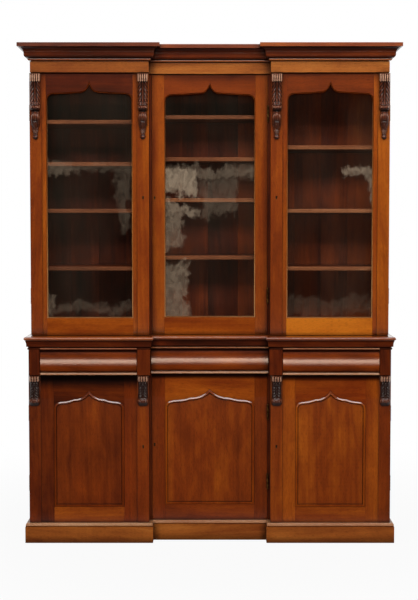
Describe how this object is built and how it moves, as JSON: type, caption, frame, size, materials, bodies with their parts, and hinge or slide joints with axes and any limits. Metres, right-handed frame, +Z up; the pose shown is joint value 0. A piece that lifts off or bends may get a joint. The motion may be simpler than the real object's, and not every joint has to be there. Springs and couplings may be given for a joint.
{
  "type": "breakfront bookcase",
  "caption": "Tall mahogany bookcase: glazed ogee-headed doors over cushion drawers and panelled cupboards, the middle section set back, with corbels, cornice and plinth.",
  "frame": {"origin": "on the floor, below the middle of the whole piece's bounding box", "axes": "+Z up; the front, with the doors and drawers, faces -Y; +X to the right as seen from the front"},
  "size_m": [1.832, 0.4798, 2.4],
  "materials": {
    "polished_mahogany": "red-brown mahogany with a glossy french polish",
    "figured_mahogany": "flame-figured mahogany veneer, glossy",
    "carved_mahogany": "dark stained carved mahogany, worn bright on its high places",
    "inner_wood": "dull dark brown stained wood",
    "drawer_wood": "bare oak, dull",
    "brass": "old dull brass",
    "old_glass": "old clear glass with slight waves"
  },
  "bodies": {
    "carcass": {"cornice": "polished_mahogany", "upper_end_left": "polished_mahogany", "upper_end_right": "polished_mahogany", "upper_inner_frame": "inner_wood", "upper_back": "inner_wood", "shelf_left_1": "inner_wood", "shelf_left_2": "inner_wood", "shelf_left_3": "inner_wood", "shelf_left_4": "inner_wood", "shelf_middle_1": "inner_wood", "shelf_middle_2": "inner_wood", "shelf_middle_3": "inner_wood", "shelf_middle_4": "inner_wood", "shelf_right_1": "inner_wood", "shelf_right_2": "inner_wood", "shelf_right_3": "inner_wood", "base_top": "polished_mahogany", "base_end_left": "polished_mahogany", "base_end_right": "polished_mahogany", "base_inner_frame": "inner_wood", "base_back": "inner_wood", "plinth": "polished_mahogany", "upper_left_hinge_lower": "brass", "upper_left_hinge_upper": "brass", "base_left_hinge_lower": "brass", "base_left_hinge_upper": "brass", "upper_middle_hinge_lower": "brass", "upper_middle_hinge_upper": "brass", "base_middle_hinge_lower": "brass", "base_middle_hinge_upper": "brass", "upper_right_hinge_lower": "brass", "upper_right_hinge_upper": "brass", "base_right_hinge_lower": "brass", "base_right_hinge_upper": "brass"},
    "left_glazed_door": {"upper_door_left": "polished_mahogany", "glass_left": "old_glass", "upper_corbel_left_outer": "carved_mahogany", "upper_corbel_left_inner": "carved_mahogany"},
    "left_cupboard_door": {"base_door_left": "polished_mahogany", "raised_panel_left": "figured_mahogany", "base_corbel_left_outer": "carved_mahogany", "base_corbel_left_inner": "carved_mahogany"},
    "left_drawer": {"drawer_front_left": "figured_mahogany", "drawer_box_left": "drawer_wood"},
    "middle_glazed_door": {"upper_door_middle": "polished_mahogany", "glass_middle": "old_glass"},
    "middle_cupboard_door": {"base_door_middle": "polished_mahogany", "raised_panel_middle": "figured_mahogany"},
    "middle_drawer": {"drawer_front_middle": "figured_mahogany", "drawer_box_middle": "drawer_wood"},
    "right_glazed_door": {"upper_door_right": "polished_mahogany", "glass_right": "old_glass", "upper_corbel_right_inner": "carved_mahogany", "upper_corbel_right_outer": "carved_mahogany"},
    "right_cupboard_door": {"base_door_right": "polished_mahogany", "raised_panel_right": "figured_mahogany", "base_corbel_right_inner": "carved_mahogany", "base_corbel_right_outer": "carved_mahogany"},
    "right_drawer": {"drawer_front_right": "figured_mahogany", "drawer_box_right": "drawer_wood"}
  },
  "joints": [
    {"name": "left_glazed_door_hinge", "type": "hinge", "parent": "carcass", "child": "left_glazed_door", "pos_m": [-0.866, -0.1055, 1.632], "axis": [0, 0, -1], "range_deg": [0, 110]},
    {"name": "middle_glazed_door_hinge", "type": "hinge", "parent": "carcass", "child": "middle_glazed_door", "pos_m": [0.28225, -0.0697, 1.632], "axis": [0, 0, 1], "range_deg": [0, 90]},
    {"name": "right_glazed_door_hinge", "type": "hinge", "parent": "carcass", "child": "right_glazed_door", "pos_m": [0.866, -0.1055, 1.632], "axis": [0, 0, 1], "range_deg": [0, 110]},
    {"name": "left_cupboard_door_hinge", "type": "hinge", "parent": "carcass", "child": "left_cupboard_door", "pos_m": [-0.872, -0.1655, 0.456], "axis": [0, 0, -1], "range_deg": [0, 110]},
    {"name": "middle_cupboard_door_hinge", "type": "hinge", "parent": "carcass", "child": "middle_cupboard_door", "pos_m": [0.28225, -0.1297, 0.456], "axis": [0, 0, 1], "range_deg": [0, 90]},
    {"name": "right_cupboard_door_hinge", "type": "hinge", "parent": "carcass", "child": "right_cupboard_door", "pos_m": [0.872, -0.1655, 0.456], "axis": [0, 0, 1], "range_deg": [0, 110]},
    {"name": "left_drawer_slide", "type": "slide", "parent": "carcass", "child": "left_drawer", "axis": [0, -1, 0], "range_m": [0, 0.3]},
    {"name": "middle_drawer_slide", "type": "slide", "parent": "carcass", "child": "middle_drawer", "axis": [0, -1, 0], "range_m": [0, 0.24]},
    {"name": "right_drawer_slide", "type": "slide", "parent": "carcass", "child": "right_drawer", "axis": [0, -1, 0], "range_m": [0, 0.3]}
  ]
}
